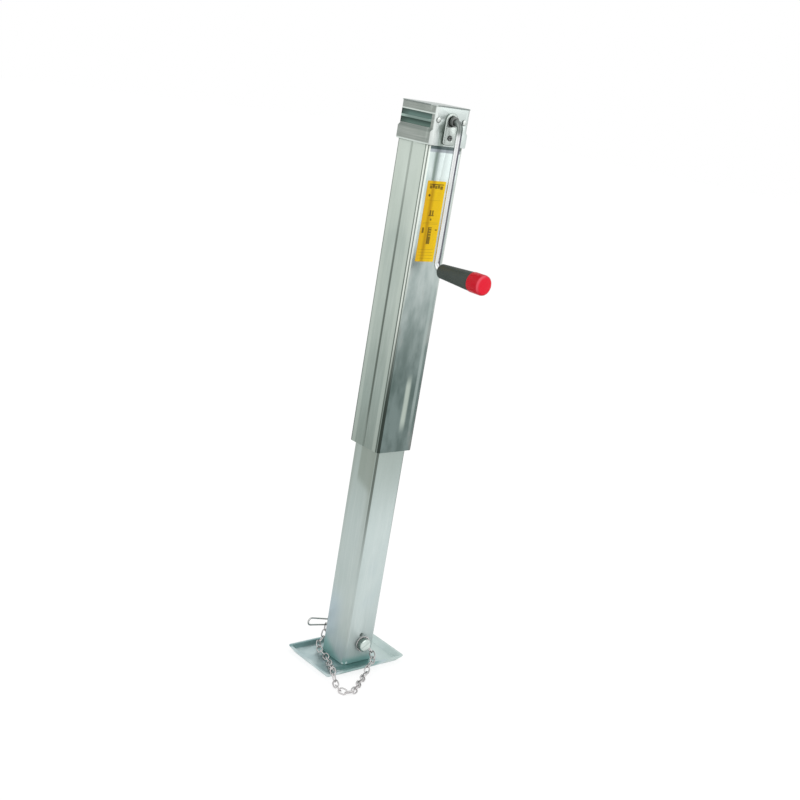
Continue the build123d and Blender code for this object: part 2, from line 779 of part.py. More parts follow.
def lead_nut():
    """The flanged bronze nut that rides on the lead screw."""
    nut = cylinder_z(nut_radius, nut_bottom_z, nut_flange_z)
    flange = cylinder_z(nut_flange_radius, nut_flange_z, nut_top_z)
    nut += chamfer(flange.faces().sort_by(Axis.Z)[-1].edges(), turned_edge)
    nut -= cylinder_z(screw_radius + running_gap, nut_bottom_z - overrun, nut_top_z + overrun)
    for x, y in bolt_places():
        nut -= cylinder_z(nut_bolt_radius + drill_gap, nut_bottom_z, nut_top_z + overrun, x, y)
    return nut


def nut_bolts():
    """The hexagon bolts through the nut's flange."""
    bolts = []
    hexagon = extrude(RegularPolygon(nut_bolt_head_radius, 6), nut_bolt_head_height)
    for x, y in bolt_places():
        bolt = cylinder_z(nut_bolt_radius, leg_top_z - nut_plate_thickness, nut_top_z, x, y)
        bolts.append(bolt + Pos(x, y, nut_top_z) * hexagon)
    return Compound(bolts)


def clip_frame():
    """The clip's own plane: its X runs along the clip's straight leg, away from the pin."""
    tilt = math.radians(clip_tilt)
    out = (0, -math.cos(tilt), math.sin(tilt))
    return Plane((clip_x, 0, pin_height), x_dir=out, z_dir=(-1, 0, 0))


def foot_pin():
    """The foot pin: a plain shank with a turned head, drilled across near its tail for the clip."""
    tail = -leg_half - pin_tail
    pin = cylinder_x(pin_radius, tail, pin_head_x, z=pin_height)
    pin = chamfer(pin.faces().sort_by(Axis.X)[0].edges(), pin_tail_chamfer)
    head = cylinder_x(pin_head_radius, pin_head_x, pin_head_x + pin_head_length, z=pin_height)
    head = chamfer(head.faces().sort_by(Axis.X)[-1].edges(), pin_head_chamfer)
    hole = clip_frame() * Rot(0, 90, 0) * extrude(Circle(clip_wire_radius + fit_gap), 2 * pin_radius, both=True)
    return pin + head - hole


def spring_clip():
    """The spring wire clip: one leg goes through the pin and the other bends over it."""
    rest = pin_radius + clip_wire_radius + slide_gap
    loop_radius = clip_outer_gap / 2 - clip_loop_flat
    path = FilletPolyline(
        (-clip_tip, 0),
        (clip_inner_leg, 0),
        (clip_inner_leg, clip_outer_gap),
        (0, rest),
        (-clip_tip, rest + clip_tip_lift),
        radius=[loop_radius, loop_radius, clip_belly_radius],
    )
    section = Plane((-clip_tip, 0, 0), z_dir=(1, 0, 0)) * RegularPolygon(clip_wire_radius, 8)
    return clip_frame() * sweep(section, path=path)


def end_ring_hang():
    """Where the end ring touches the pin's neck from above, and the way it hangs from there."""
    swing = math.radians(end_ring_swing)
    lean = math.radians(end_ring_lean)
    upward = Vector(0, -math.sin(swing), math.cos(swing))
    down = Vector(math.sin(lean), math.cos(lean) * math.sin(swing), -math.cos(lean) * math.cos(swing))
    neck = Vector(leg_half + pin_neck / 2, 0, pin_height)
    return neck + upward * (pin_radius + chain_wire_radius + slide_gap), down


def end_ring():
    """The ring on the pin's neck that holds the chain's last link, bent from the chain's wire."""
    top, down = end_ring_hang()
    sideways = Vector(0, down.Z, -down.Y).normalized()
    hang = Plane(top + down * end_ring_radius, x_dir=down, z_dir=down.cross(sideways))
    middle = RegularPolygon(end_ring_radius, end_ring_sides, major_radius=False).wire()
    start = Plane(middle.position_at(0), z_dir=middle.tangent_at(0))
    wire = start * RegularPolygon(chain_wire_radius, 6)
    return hang * sweep(wire, path=middle, transition=Transition.RIGHT)


def chain_route():
    """The chain's line: off the clip, round the leg, over the rim, out on the floor and back to the pin."""
    lying = (link_width / 2 - chain_wire_radius) * math.sqrt(0.5) + chain_wire_radius + slide_gap
    dish = plate_thickness + lying
    rim = plate_thickness + rim_rise + lying
    edge = plate_width / 2
    side = leg_half + link_width / 2
    hook = clip_frame().from_local_coords(Vector(clip_hook, 0, 0))
    hook_x = hook.X + pin_end_play / 2
    hang = link_length / 2 - 2 * chain_wire_radius - clip_wire_radius - slide_gap
    ring_top, ring_down = end_ring_hang()
    ring_hold = link_length / 2 - 3 * chain_wire_radius - fit_gap
    last_way = Vector(*last_link_way).normalized()
    last = ring_top + ring_down * 2 * end_ring_radius - last_way * ring_hold
    points = [
        (hook_x, hook.Y, hook.Z - hang),
        (hook_x + 0.4, hook.Y - 1.5, hook.Z - hang - 14),
        (-side - 0.3, -side + 9, dish + 13),
        (-side + 3, -side + 0.5, dish + 7),
        (-side + 13, -side - 5, dish + 3),
        (-side + 26, -side - 7, dish + 1),
        (2, -side - 9, dish),
        (17, -side - 15, dish),
        (edge - 30, -side - 23, dish + 1),
        (edge - 18, -side - 31, dish + 4.5),
        (edge - 8, -side - 37, rim + 1),
        (edge + 1, -side - 42, rim + 2.5),
        (edge + 11, -side - 46, rim - 3),
        (edge + 20, -side - 49, lying + 2.5),
        (edge + 30, -side - 52, lying),
        (edge + 39, -side - 54, lying),
        (edge + 48.5, -side - 52.5, lying),
        (edge + 54.5, -side - 45, lying),
        (edge + 54.5, -side - 34, lying),
        (edge + 48, -side - 22, lying),
        (edge + 39, -side - 10, lying),
        (edge + 30, -side + 3, lying),
        (edge + 21, -side + 16, lying + 0.5),
        (edge + 13, -side + 28, lying + 4.5),
        (edge + 6, -side + 39, rim - 0.5),
        (edge + 1, -side + 49, rim + 3),
        last - last_way * last_link_lead,
        last,
    ]
    return Spline(*points, tangents=[(0.02, -0.035, -1), last_way], tangent_scalars=(1, 1))


def chain_link():
    """One chain link: a six-sided wire bent round two half octagons and closed."""
    across = link_width / 2 - chain_wire_radius
    corner = Vector(across, 0).rotate(Axis.Z, 22.5) / math.cos(math.radians(22.5))
    shift = Vector((link_length - link_width) / 2, 0)
    quarter = [corner + shift, Vector(corner.Y, corner.X) + shift]
    right = [Vector(0, -across)] + [Vector(v.X, -v.Y) for v in reversed(quarter)] + quarter
    left = [Vector(-v.X, -v.Y) for v in right[1:]]
    oval = Polyline(*right, *left, close=True)
    start = Plane((0, -across, 0), z_dir=(1, 0, 0))
    return sweep(start * RegularPolygon(chain_wire_radius, 6), path=oval, transition=Transition.RIGHT)


def chain():
    """The chain that keeps the pin and clip with the stand, one solid for each link."""
    route = chain_route()
    pitch = link_length - 4 * chain_wire_radius - link_slack
    gaps = 2 * round(route.length / (2 * pitch))
    link = chain_link()
    links = []
    for index in range(gaps + 1):
        centre = route.position_at(index / gaps)
        along = route.tangent_at(index / gaps)
        upward = Vector(0, 0, 1) - along * along.Z
        roll = 45 if index % 2 == 0 else -45
        links.append(Plane(centre, x_dir=along, z_dir=upward) * Rot(roll, 0, 0) * link)
    return Compound(links)


parts = {
    "foot_plate": foot_plate(),
    "foot_tube": foot_tube(),
    "inner_leg": inner_leg(),
    "leg_guide_pads": guide_pads(leg_half, leg_top_z - pad_set_in - pad_length, True),
    "nut_plate": nut_plate(),
    "lead_nut": lead_nut(),
    "nut_bolts": nut_bolts(),
    "chain": chain(),
    "chain_end_ring": end_ring(),
    "foot_pin": foot_pin(),
    "spring_clip": spring_clip(),
    "outer_tube": outer_tube(),
    "tube_guide_pads": guide_pads(leg_half + slide_gap, tube_bottom_z + pad_set_in, False),
    "bearing_plate": bearing_plate(),
    "gear_housing": gear_housing(),
    "housing_lid": housing_lid(),
    "housing_rivets": housing_rivets(),
    "shaft_bracket": shaft_bracket(),
    "bracket_screw": bracket_screw(),
    "front_shaft_bush": shaft_bush(True),
    "rear_shaft_bush": shaft_bush(False),
    "upper_thrust_race": thrust_race(bearing_plate_bottom_z - race_thickness),
    "thrust_rollers": thrust_rollers(),
    "roller_cage": roller_cage(),
    "lower_thrust_race": thrust_race(collar_top_z),
    "lead_screw": lead_screw(),
    "screw_gear": screw_gear(),
    "gear_pin": gear_pin(),
    "stop_collar": stop_collar(),
    "stop_pin": stop_pin(),
    "crank_shaft": crank_shaft(),
    "retaining_ring": retaining_ring(),
    "drive_pinion": drive_pinion(),
    "pinion_pin": pinion_pin(),
    "crank_arm": crank_arm(),
    "arm_pin": arm_pin(),
    "grip_washer": grip_washer(),
    "crank_grip": crank_grip(),
    "grip_cap": grip_cap(),
}

os.makedirs("parts", exist_ok=True)
for name, shape in parts.items():
    shape.label = name
    export_step(shape, f"parts/{name}.step")
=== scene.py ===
import json
import math

import bmesh
import bpy
import numpy as np
from mathutils import Matrix, Vector

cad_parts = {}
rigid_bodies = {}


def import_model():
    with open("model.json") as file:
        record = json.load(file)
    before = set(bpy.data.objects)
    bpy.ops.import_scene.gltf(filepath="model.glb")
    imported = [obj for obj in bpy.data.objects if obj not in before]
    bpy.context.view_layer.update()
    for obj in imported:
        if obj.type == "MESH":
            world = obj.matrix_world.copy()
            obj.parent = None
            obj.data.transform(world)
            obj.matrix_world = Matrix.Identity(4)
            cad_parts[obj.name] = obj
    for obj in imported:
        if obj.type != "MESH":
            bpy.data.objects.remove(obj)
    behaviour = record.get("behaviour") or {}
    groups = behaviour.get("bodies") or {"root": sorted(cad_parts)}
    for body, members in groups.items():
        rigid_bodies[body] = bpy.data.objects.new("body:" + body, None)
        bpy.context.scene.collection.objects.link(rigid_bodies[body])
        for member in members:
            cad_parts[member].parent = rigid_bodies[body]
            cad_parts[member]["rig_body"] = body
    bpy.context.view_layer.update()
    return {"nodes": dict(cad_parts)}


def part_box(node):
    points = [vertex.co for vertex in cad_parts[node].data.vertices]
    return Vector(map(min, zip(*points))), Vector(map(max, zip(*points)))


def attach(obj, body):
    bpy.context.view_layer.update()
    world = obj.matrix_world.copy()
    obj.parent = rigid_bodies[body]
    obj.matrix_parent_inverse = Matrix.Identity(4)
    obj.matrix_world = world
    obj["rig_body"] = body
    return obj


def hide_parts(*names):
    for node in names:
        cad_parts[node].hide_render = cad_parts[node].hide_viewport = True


# A trailer prop stand, upright on its foot plate, with its leg wound right out. All lengths are in metres.
# Z runs up the tube from the ground, and X points to the crank.
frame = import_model()
scene = bpy.context.scene


# The camera stands at chest height in front of the crank's side and looks down at the stand. It is rolled
# a little, so the upright stand leans in the picture. Its lens and sensor are in millimetres.
camera_place = Vector((1.5683, -1.4166, 1.0782))
camera_turn = math.radians(47.34)
camera_tip = math.radians(-15.22)
camera_roll = math.radians(9.55)
forward = Vector((
    -math.sin(camera_turn) * math.cos(camera_tip),
    math.cos(camera_turn) * math.cos(camera_tip),
    math.sin(camera_tip),
))
level_right = Vector((math.cos(camera_turn), math.sin(camera_turn), 0))
unrolled_up = level_right.cross(forward)
camera_right = math.cos(camera_roll) * level_right + math.sin(camera_roll) * unrolled_up
camera_up = math.cos(camera_roll) * unrolled_up - math.sin(camera_roll) * level_right


def turned_to(x_way, y_way, z_way):
    """The turn that takes X, Y and Z to these three ways."""
    return Matrix((x_way, y_way, z_way)).transposed().to_4x4()


def in_scene(name, data):
    """A new object in the scene."""
    thing = bpy.data.objects.new(name, data)
    scene.collection.objects.link(thing)
    return thing


camera_data = bpy.data.cameras.new("camera")
camera_data.sensor_width = 36.0
camera_data.lens = 56.24
camera_data.clip_start = 0.05
camera = in_scene("camera", camera_data)
camera.matrix_world = Matrix.Translation(camera_place) @ turned_to(camera_right, camera_up, -forward)
scene.camera = camera
scene.view_settings.view_transform = "Standard"


# The studio: a plain pale floor under an even white sky, with a large soft lamp on the crank's side and
# a weaker one on the left. The floor and the sky look white, and the floor keeps the stand's faint shadow.
class Field:
    """A value that varies over a surface. Sums and products of fields add their Math nodes."""

    def __init__(self, finish, socket):
        self.finish = finish
        self.socket = socket

    def maths(self, operation, *others):
        """What a Math node makes of this value and the others."""
        return self.finish.add("Math", {"operation": operation}, dict(enumerate((self, *others))))

    def __add__(self, other):
        return self.maths("ADD", other)

    def __sub__(self, other):
        return self.maths("SUBTRACT", other)

    def __rsub__(self, other):
        return self.maths("MULTIPLY_ADD", -1.0, other)

    def __mul__(self, other):
        return self.maths("MULTIPLY", other)

    def __truediv__(self, other):
        return self.maths("DIVIDE", other)

    __radd__ = __add__
    __rmul__ = __mul__

    def __neg__(self):
        return 0 - self

    def __abs__(self):
        return self.maths("ABSOLUTE")

    def either(self, other):
        """The larger of the two."""
        return self.maths("MAXIMUM", other)

    def rising(self, low, high):
        """0 below low and 1 above high, smooth between."""
        ends = {"Value": self, "From Min": low, "From Max": high}
        return self.finish.add("MapRange", {"interpolation_type": "SMOOTHSTEP"}, ends)

    def falling(self, low, high):
        """1 below low and 0 above high, smooth between."""
        return 1 - self.rising(low, high)

    def inside(self, low, high, soft):
        """1 between low and high, with soft sides."""
        return self.rising(low - soft, low + soft) * self.falling(high - soft, high + soft)


def tint(red, green, blue):
    """A colour as a screen shows it, 0 to 255, turned to the light's own scale."""
    def light(value):
        share = value / 255
        return share / 12.92 if share <= 0.04045 else ((share + 0.055) / 1.055) ** 2.4
    return (light(red), light(green), light(blue), 1.0)


class Finish:
    """A material, or the sky, whose nodes are made one by one."""

    def __init__(self, name, sky=False):
        self.owner = bpy.data.worlds.new(name) if sky else bpy.data.materials.new(name)
        self.owner.use_nodes = True
        self.tree = self.owner.node_tree
        self.tree.nodes.clear()

    def add(self, kind, settings=None, inputs=None, output=0):
        """A node with its settings and inputs. It gives one of its outputs, if it has any."""
        node = self.tree.nodes.new("ShaderNode" + kind)
        for key, value in (settings or {}).items():
            setattr(node, key, value)
        for key, value in (inputs or {}).items():
            if isinstance(value, Field):
                self.tree.links.new(value.socket, node.inputs[key])
            else:
                node.inputs[key].default_value = value
        return Field(self, node.outputs[output]) if node.outputs else None

    def along_axes(self, coordinates):
        """The X, Y and Z of one kind of the piece's own coordinates."""
        whole = self.add("TexCoord", output=coordinates)
        return [self.add("SeparateXYZ", inputs={0: whole}, output=axis) for axis in range(3)]

    def place(self):
        """The place on the piece, in metres, as X, Y and Z."""
        return self.along_axes("Object")

    def facing(self):
        """The way that the surface faces on the piece, as X, Y and Z."""
        return self.along_axes("Normal")

    def cloud(self, patches, detail=3.0):
        """Soft noise from 0 to 1, with so many patches to the metre, or so many along X, Y and Z."""
        along = patches if isinstance(patches, tuple) else (patches, patches, patches)
        point = self.add("TexCoord", output="Object")
        scaled = self.add("VectorMath", {"operation": "MULTIPLY"}, {0: point, 1: along})
        noise = {"Vector": scaled, "Scale": 1.0, "Detail": detail, "Roughness": 0.55}
        return self.add("TexNoise", inputs=noise)

    def mixed(self, share, first, second):
        """The first colour where share is 0 and the second where it is 1: they are the inputs 6 and 7."""
        return self.add("Mix", {"data_type": "RGBA"}, {0: share, 6: first, 7: second}, output=2)

    def layered(self, ground, *layers):
        """The ground colour with layers laid over it in turn. Each is a share from 0 to 1 and a colour."""
        for share, colour in layers:
            ground = self.mixed(share, ground, colour)
        return ground

    def surface(self, colour, roughness, metallic, height=None, relief=0.00002, coat=0.0, specular=0.5):
        """Ends the material in one shader; height from 0 to 1 stands for that much relief in metres."""
        inputs = {"Base Color": colour, "Roughness": roughness, "Metallic": metallic, "Coat Weight": coat}
        inputs["Specular IOR Level"] = specular
        if height is not None:
            bump = {"Height": height, "Distance": relief, "Strength": 1.0}
            inputs["Normal"] = self.add("Bump", inputs=bump)
        self.add("OutputMaterial", inputs={"Surface": self.add("BsdfPrincipled", inputs=inputs)})
        return self.owner


def seen_directly(finish):
    """1 for what the camera sees, straight, in metal or through glass, and 0 for the light on the object."""
    camera_ray = finish.add("LightPath", output="Is Camera Ray")
    mirrored = finish.add("LightPath", output="Is Glossy Ray")
    through = finish.add("LightPath", output="Is Transmission Ray")
    return camera_ray.either(mirrored).either(through)


def built(name, bm, material):
    """A new object in the scene from a mesh in the making and one material."""
    mesh = bpy.data.meshes.new(name)
    bm.to_mesh(mesh)
    bm.free()
    mesh.materials.append(material)
    return in_scene(name, mesh)


def soft_lamp(name, place, aim, size, power):
    """A square soft lamp that points from its place to its aim."""
    lamp_data = bpy.data.lights.new(name, "AREA")
    lamp_data.size = size
    lamp_data.energy = power
    lamp = in_scene(name, lamp_data)
    lamp.location = place
    lamp.rotation_mode = "QUATERNION"
    lamp.rotation_quaternion = (Vector(aim) - Vector(place)).to_track_quat("-Z", "Y")


ambient_level = 0.82
sky = Finish("white_sky", sky=True)
sky_strength = seen_directly(sky) * (1 - ambient_level) + ambient_level
sky_shader = sky.add("Background", inputs={"Color": (1, 1, 1, 1), "Strength": sky_strength})
sky.add("OutputWorld", inputs={"Surface": sky_shader})
scene.world = sky.owner

floor_reach = 14.0
floor_drop = 0.0002
floor_brightness = 1.14
shadow_share = 0.30
floor_finish = Finish("pale_floor")
floor_matt = floor_finish.add("BsdfDiffuse", inputs={"Color": tint(240, 240, 240)})
floor_white = floor_finish.add("Emission", inputs={"Color": (1, 1, 1, 1), "Strength": floor_brightness})
floor_glow = seen_directly(floor_finish) * (1 - shadow_share)
floor_shader = floor_finish.add("MixShader", inputs={0: floor_glow, 1: floor_matt, 2: floor_white})
floor_finish.add("OutputMaterial", inputs={"Surface": floor_shader})
floor_bm = bmesh.new()
bmesh.ops.create_grid(floor_bm, x_segments=1, y_segments=1, size=floor_reach)
bmesh.ops.translate(floor_bm, verts=floor_bm.verts, vec=(0, 0, -floor_drop))
floor = built("studio_floor", floor_bm, floor_finish.owner)

soft_lamp("crank_side_lamp", place=(2.6, 0.5, 2.0), aim=(0, 0, 0.55), size=2.8, power=21.0)
soft_lamp("left_lamp", place=(-0.9, -2.6, 1.9), aim=(0, 0, 0.5), size=2.4, power=13.0)


# The foot plate: pressed from 4 mm sheet into a shallow tray, then zinc-plated with the tube welded on it.
# Its rim slopes up all round; the plating is cloudy, with blue-green patches in the tray, and a painted teal
# reflection of the leg and its shadow lies round the leg's foot and along the front edge.
same_point = 1e-6
flat_angle = math.radians(0.5)
sharp_angle = math.radians(32)
zinc_metallic = 0.8
glint_white = tint(240, 248, 248)


def finished(node, edge, material):
    """Shows a CAD node by a piece made from its own surfaces, with merged corners and eased edges."""
    source = frame["nodes"][node]
    bm = bmesh.new()
    bm.from_mesh(source.data)
    bmesh.ops.remove_doubles(bm, verts=bm.verts, dist=same_point)
    bmesh.ops.dissolve_limit(bm, angle_limit=flat_angle, verts=bm.verts, edges=bm.edges)
    for face in bm.faces:
        face.smooth = True
    piece = built(node + "_finished", bm, material)
    eased = piece.modifiers.new("eased_edges", "BEVEL")
    eased.width = edge
    eased.segments = 2
    eased.limit_method = "ANGLE"
    eased.angle_limit = sharp_angle
    eased.harden_normals = True
    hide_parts(node)
    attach(piece, source["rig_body"])


def zinc_tone(finish, dark, light, patch, patches=16.0, rolled=(900, 900, 14)):
    """The colour, roughness and marks of bright zinc: cloudy greys, coloured patches and rolling marks."""
    clouds = finish.cloud((patches, patches, patches * 0.4), 4.0)
    marks = finish.cloud(rolled, 2.0)
    spots = finish.cloud((patches * 0.8, patches * 0.8, patches * 0.5), 2.0).rising(0.52, 0.72)
    colour = finish.layered(
        finish.mixed(clouds.rising(0.3, 0.7), dark, light),
        (spots * 0.5, patch),
        (marks.rising(0.45, 0.75) * 0.16, tint(236, 240, 238)),
    )
    roughness = 0.24 + 0.14 * clouds + 0.08 * marks
    return colour, roughness, marks


def near(place, spot, core, reach):
    """1 within the core distance of a spot and 0 beyond its reach."""
    steps = [along - centre for along, centre in zip(place, spot)]
    return sum(step * step for step in steps).falling(core ** 2, reach ** 2)


plate_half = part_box("foot_plate")[1].x
leg_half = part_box("inner_leg")[1].x
plate_finish = Finish("zinc_tray")
plate_x, plate_y, _ = plate_finish.place()
from_middle = abs(plate_x).either(abs(plate_y))
from_front = plate_half - plate_x
from_back = plate_half + plate_x
right_wing = plate_y.rising(0.030, 0.060)
# Painted light on the tray: by_leg, before_leg and front_edge paint the leg's teal reflection and shadow,
# back_rim paints shade on the back rim, and front_glint paints a highlight.
by_leg = from_middle.falling(leg_half - 0.001, leg_half + 0.015)
before_leg = plate_x.rising(0.028, 0.036) * abs(plate_y + 0.012).falling(0.034, 0.052)
front_edge = from_front.inside(0.0085, 0.0120, 0.0008) * abs(plate_y + 0.022).falling(0.030, 0.040)
back_rim = from_back.rising(0.0015, 0.0030) * from_back.falling(0.0095, 0.0115)
front_glint = near((plate_x, plate_y), (0.046, -0.052), 0.002, 0.004)
tray_grey, tray_roughness, tray_marks = zinc_tone(
    plate_finish, tint(168, 190, 192), tint(200, 216, 216), tint(182, 196, 214), patches=22.0
)
tray_grey = plate_finish.layered(
    tray_grey,
    (right_wing * 0.6, tint(194, 210, 204)),
    (by_leg.either(before_leg) * 0.8, tint(116, 160, 156)),
    (front_edge * 0.8, tint(88, 126, 120)),
    (back_rim * 0.8, tint(104, 144, 144)),
    (front_glint, glint_white),
)
plate_zinc = plate_finish.surface(tray_grey, tray_roughness, zinc_metallic, tray_marks)
finished("foot_plate", 0.0006, plate_zinc)


# The inner leg: square tube of 3 mm wall, zinc-plated. Its crank faces are painted lighter, as lit, it has
# painted shade near the outer tube, in which it slides, and a painted green-blue reflection of the tray at
# its foot.
def on_face(out, half, margin=0.0010):
    """1 on the two flat faces that lie half the tube's width out, and 0 deeper in than the margin."""
    return abs(out).rising(half - margin, half - margin + 0.0007)


def round_corner(place, half, corner):
    """Where a square tube's corners are, and how far round them: -1 at the side face, 1 at the crank's."""
    out_x, out_y = abs(place[0]), abs(place[1])
    start = 2 * half - corner
    on_corner = (out_x + out_y).rising(start - 0.0010, start + 0.0006)
    way_round = (out_x - out_y) / corner
    return on_corner, way_round


leg_corner = 0.007
leg_finish = Finish("zinc_leg")
leg_place = leg_finish.place()
leg_x, leg_y, leg_z = leg_place
crank_faces = on_face(leg_x, leg_half)
side_faces = on_face(leg_y, leg_half)
leg_round, leg_way_round = round_corner(leg_place, leg_half, leg_corner)
upper_leg = leg_z.rising(0.14, 0.36)
# Painted shade: near_tube greys the leg below the outer tube, and shade_band, by_corner and dark_corner
# darken its side face and its corner.
near_tube = leg_z.rising(0.25, 0.42)
shade_band = side_faces * leg_x.rising(-0.012, -0.008) * (leg_z + 0.4 * leg_x).rising(0.338, 0.362)
by_corner = side_faces * abs(leg_x).rising(0.016, 0.031) * upper_leg
dark_corner = leg_round * leg_way_round.inside(-0.3, 0.6, 0.15) * leg_x.rising(-0.010, 0.010) * upper_leg
# low_blue makes the side face bluer above the foot; side_reflection and crank_reflection paint the tray's
# green-blue reflection on the foot, and the two glints below are painted highlights.
low_blue = side_faces * leg_z.inside(0.035, 0.125, 0.03) * leg_x.falling(-0.020, 0.020)
side_reflection = side_faces * (leg_z + 0.6 * leg_x).falling(0.008, 0.032)
crank_reflection = (1 - side_faces) * leg_z.falling(0.007, 0.022)
# The crank faces are painted lighter than the side faces, as lit.
leg_grey, leg_roughness, leg_marks = zinc_tone(
    leg_finish,
    dark=leg_finish.mixed(crank_faces, tint(174, 187, 184), tint(187, 201, 199)),
    light=leg_finish.mixed(crank_faces, tint(188, 199, 195), tint(201, 213, 211)),
    patch=tint(168, 190, 202),
    patches=10.0,
)
leg_grey = leg_finish.layered(
    leg_grey,
    (near_tube * 0.65, tint(148, 160, 152)),
    (shade_band * 0.6, tint(128, 138, 127)),
    (by_corner * 0.45, tint(138, 146, 136)),
    (dark_corner * 0.85, tint(84, 92, 84)),
    (low_blue * 0.4, tint(166, 190, 208)),
    (side_reflection.either(crank_reflection) * 0.85, tint(134, 184, 180)),
    (near(leg_place, (leg_half - 0.003, -leg_half, 0.0062), 0.0014, 0.0032), glint_white),
    (near(leg_place, (leg_half, -0.0255, 0.0078), 0.0014, 0.0032), glint_white),
)
leg_metallic = 0.15 + 0.65 * leg_z.rising(0.050, 0.160)
leg_zinc = leg_finish.surface(leg_grey, leg_roughness, leg_metallic, leg_marks)
finished("inner_leg", 0.0004, leg_zinc)


# The outer tube: rolled from two channels, so a seam runs down both side faces. It is bright at the head and
# darker and bluer towards the foot, with one pale streak on the crank face, painted reflections in fine
# lines down the corners and painted shade under the skirt.
tube_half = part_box("outer_tube")[1].x
tube_corner = 0.008
skirt_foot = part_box("gear_housing")[0].z
tube_finish = Finish("zinc_tube")
tube_place = tube_finish.place()
tube_x, tube_y, tube_z = tube_place
crank_faces = on_face(tube_x, tube_half, margin=0.0012)
tube_round, tube_way_round = round_corner(tube_place, tube_half, tube_corner)
tube_rise = tube_z.rising(0.42, 0.90)
tube_grey, tube_roughness, tube_marks = zinc_tone(
    tube_finish,
    dark=tube_finish.mixed(tube_rise, tint(128, 141, 133), tint(180, 192, 182)),
    light=tube_finish.mixed(tube_rise, tint(142, 156, 149), tint(196, 207, 198)),
    patch=tint(146, 162, 156),
    patches=9.0,
)
# pale_strip paints a highlight beside each corner of the side faces.
pale_strip = abs(tube_x).inside(0.024, 0.0325, 0.0015)
tube_grey = tube_finish.mixed(pale_strip * 0.3, tube_grey, tint(196, 206, 196))

# On the crank face, the dark foot and light head are a painted reflection, and head_highlight is a painted
# highlight.
face_clouds = tube_finish.cloud((24, 30, 12), 4.0)
cloudy = face_clouds.rising(0.35, 0.65)
crank_low = tube_finish.mixed(cloudy, tint(86, 103, 99), tint(115, 131, 128))
crank_high = tube_finish.mixed(cloudy, tint(176, 190, 187), tint(202, 212, 209))
faint_red = tube_finish.cloud((45, 45, 16), 2.0).rising(0.60, 0.72) * (1 - tube_rise)
streak = (tube_y + 0.003 * face_clouds).inside(0.0025, 0.0125, 0.0025) * tube_z.inside(0.462, 0.548, 0.014)
far_strip = tube_y.inside(0.0225, 0.0290, 0.0015) * tube_z.inside(0.46, 0.74, 0.05)
head_highlight = tube_y.rising(-0.0135, -0.0085) * tube_z.rising(0.880, 0.900)
rod_shadow = tube_y.inside(-0.0205, -0.0150, 0.0020) * tube_z.rising(0.72, 0.80)
# below_skirt places a painted shadow just under the skirt and a pale lilac painted reflection below it.
below_skirt = skirt_foot - tube_z
crank_grey = tube_finish.layered(
    tube_finish.mixed((tube_z + 0.06 * face_clouds).rising(0.54, 0.86), crank_low, crank_high),
    (faint_red * 0.35, tint(158, 150, 144)),
    (streak * 0.85, tint(184, 196, 186)),
    (far_strip * 0.6, tint(170, 184, 180)),
    (head_highlight * 0.9, tint(222, 234, 232)),
    (rod_shadow * 0.75, tint(126, 144, 134)),
    (below_skirt.inside(0.0040, 0.0105, 0.0010) * 0.9, tint(146, 154, 160)),
    (below_skirt.inside(-0.0040, 0.0055, 0.0010) * 0.9, tint(58, 74, 74)),
)
tube_grey = tube_finish.mixed(crank_faces, tube_grey, crank_grey)

# Painted reflections down the corners, in light and dark lines, with the corners painted dark towards the
# foot.
low_corner = tube_z.falling(0.48, 0.68)
for start, end, share, colour in (
    (-0.85, -0.44, 0.80, tint(72, 82, 74)),
    (-0.50, 0.00, 0.85 * (1 - low_corner), tint(226, 232, 224)),
    (0.00, 0.32, 0.80, tint(84, 92, 86)),
    (0.32, 0.80, 0.80 * tube_z.rising(0.62, 0.78), tint(214, 220, 212)),
    (-0.30, 0.70, 0.95 * low_corner, tint(44, 54, 48)),
):
    line = tube_round * tube_way_round.inside(start, end, 0.07)
    tube_grey = tube_finish.mixed(line * share, tube_grey, colour)
in_seam = abs(tube_x).falling(0.0014, 0.0038) * crank_faces.maths("LESS_THAN", 0.5)
seam_share = (0.42 + 0.46 * tube_z.falling(0.70, 0.92)) * (0.35 + 0.65 * tube_z.rising(0.43, 0.50))
tube_grey = tube_finish.mixed(in_seam * seam_share, tube_grey, tint(88, 98, 90))
tube_zinc = tube_finish.surface(tube_grey, tube_roughness, zinc_metallic, tube_marks)
finished("outer_tube", 0.0004, tube_zinc)


# The guide pads: moulded in white plastic, they keep the leg straight in the tube without rattle.
# Four are clipped in the leg's top, and four sit in the tube's mouth.
def dressed(node, material):
    """Gives a CAD node that stays as it is its own material."""
    frame["nodes"][node].data.materials.clear()
    frame["nodes"][node].data.materials.append(material)


pad_finish = Finish("moulded_pad")
pad_cloud = pad_finish.cloud(60)
pad_white = pad_finish.mixed(pad_cloud, tint(206, 206, 196), tint(228, 228, 220))
pad_plastic = pad_finish.surface(pad_white, 0.45 + 0.15 * pad_cloud, 0.0, pad_cloud, relief=0.0001)
for node in ("leg_guide_pads", "tube_guide_pads"):
    dressed(node, pad_plastic)


# The steel inside the stand: the foot's own tube and the welded plates, cut from tube and plate and
# zinc-plated like the leg. Only the foot's tube can be glimpsed, through the drain hole.
hidden_finish = Finish("hidden_zinc")
hidden_grey, hidden_roughness, hidden_marks = zinc_tone(
    hidden_finish, tint(158, 168, 164), tint(190, 198, 194), tint(140, 160, 160)
)
hidden_zinc = hidden_finish.surface(hidden_grey, hidden_roughness, zinc_metallic, hidden_marks)
for node in ("foot_tube", "nut_plate", "bearing_plate"):
    dressed(node, hidden_zinc)


